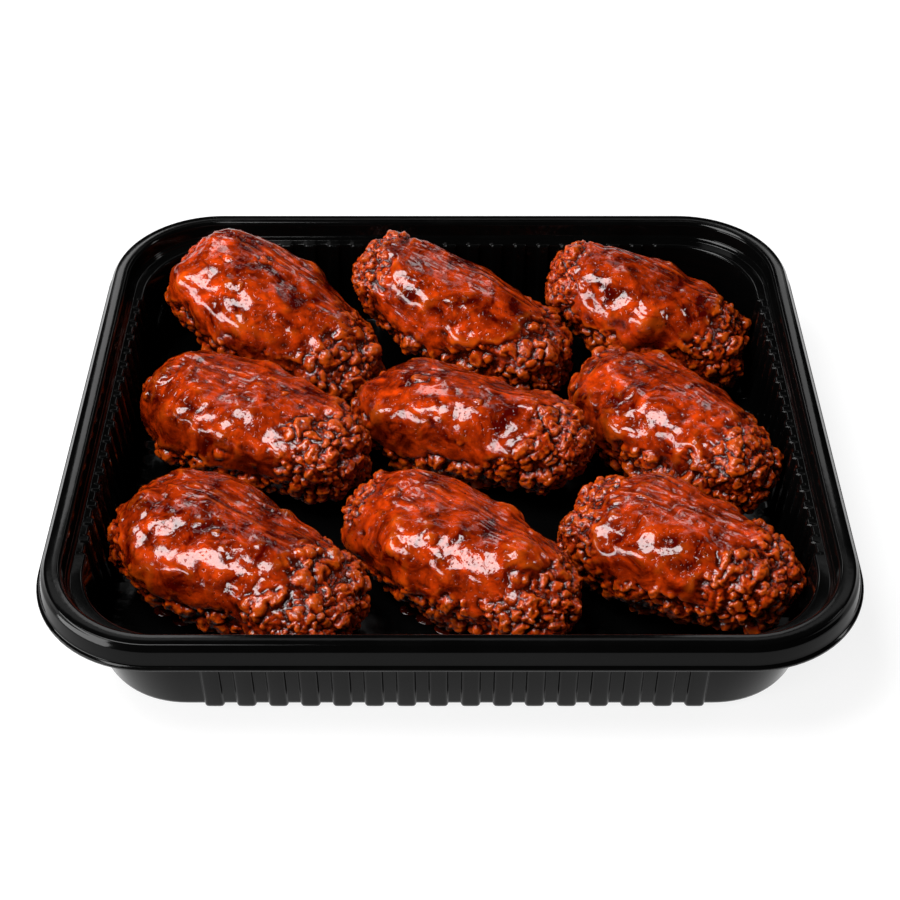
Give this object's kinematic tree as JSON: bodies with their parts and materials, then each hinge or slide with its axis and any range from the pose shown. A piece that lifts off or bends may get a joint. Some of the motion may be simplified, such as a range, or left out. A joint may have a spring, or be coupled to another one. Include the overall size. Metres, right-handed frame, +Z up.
{
  "type": "chicken wings serving",
  "caption": "Glazed chicken wings with a knobbly crust, packed in rows in a black ribbed plastic tray with a stepped snap rim.",
  "frame": {"origin": "centre of the tray's flat underside, on the surface it rests on", "axes": "+X along the tray's longer side to the viewer's right, +Y away from the viewer, +Z up"},
  "size_m": [0.25, 0.2224, 0.0512],
  "materials": {
    "tray": "glossy black thermoformed plastic",
    "wing_1": "sticky red-brown glaze over fried crust",
    "wing_2": "sticky red-brown glaze over fried crust",
    "wing_3": "sticky red-brown glaze over fried crust",
    "wing_4": "sticky red-brown glaze over fried crust",
    "wing_5": "sticky red-brown glaze over fried crust",
    "wing_6": "sticky red-brown glaze over fried crust",
    "wing_7": "sticky red-brown glaze over fried crust",
    "wing_8": "sticky red-brown glaze over fried crust",
    "wing_9": "sticky red-brown glaze over fried crust"
  },
  "bodies": {
    "root": {"tray": "tray", "wing_1": "wing_1", "wing_2": "wing_2", "wing_3": "wing_3", "wing_4": "wing_4", "wing_5": "wing_5", "wing_6": "wing_6", "wing_7": "wing_7", "wing_8": "wing_8", "wing_9": "wing_9"}
  },
  "joints": []
}
